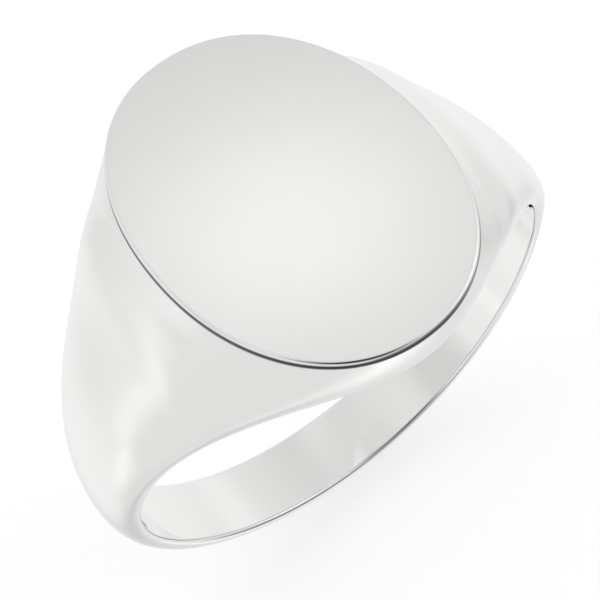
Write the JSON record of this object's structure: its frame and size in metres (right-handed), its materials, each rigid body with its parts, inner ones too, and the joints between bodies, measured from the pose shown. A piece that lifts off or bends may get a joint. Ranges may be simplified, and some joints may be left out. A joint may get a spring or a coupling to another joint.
{
  "type": "signet ring",
  "caption": "Plain polished signet ring with a flat oval face, tapered shoulders and a narrow flat-sided band.",
  "frame": {"origin": "centre of the finger hole", "axes": "+Z out of the flat face, Y along the finger, X across it"},
  "size_m": [0.0222, 0.0142, 0.0231],
  "materials": {
    "polished_silver": "mirror polish",
    "polished_face": "mirror polish",
    "silver_solder": "polished flush"
  },
  "bodies": {
    "root": {"face_plate": "polished_face", "face_solder": "silver_solder", "signet_head": "polished_silver", "shank": "polished_silver", "left_solder_seam": "silver_solder", "right_solder_seam": "silver_solder"}
  },
  "joints": []
}
